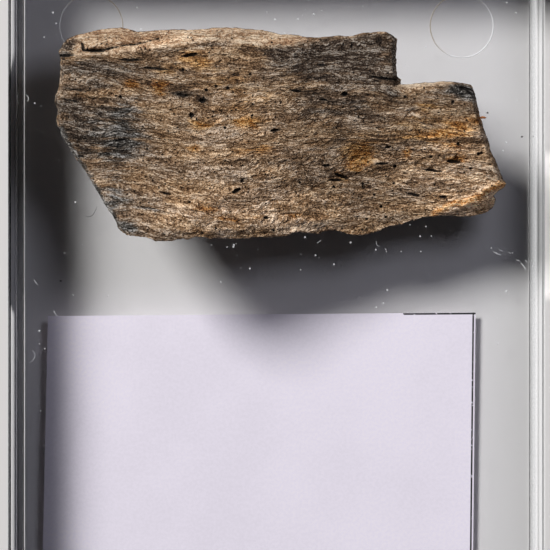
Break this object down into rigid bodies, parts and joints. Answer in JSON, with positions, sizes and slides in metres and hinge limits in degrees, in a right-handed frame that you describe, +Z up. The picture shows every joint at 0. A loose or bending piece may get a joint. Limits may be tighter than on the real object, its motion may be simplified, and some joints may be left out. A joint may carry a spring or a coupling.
{
  "type": "fossil tyrannosaurus bone fragment in a specimen tray",
  "caption": "Split fragment of brown fossil limb bone with a ribbed, pitted upper face, lying in a shallow open clear tray beside a blank paper label.",
  "frame": {"origin": "middle of the tray's flat underside", "axes": "+Z up out of the open tray, +Y along its length towards the end that holds the bone, +X to the right with the label at the near end"},
  "size_m": [0.0556, 0.0812, 0.0172],
  "materials": {
    "bone": "dull mineralised bone, brown with cream ridges and rust stains",
    "tray": "clear moulded polystyrene with fine scratches",
    "label": "matte white paper with a thin printed border"
  },
  "bodies": {
    "root": {"bone": "bone", "tray": "tray", "label": "label"}
  },
  "joints": []
}
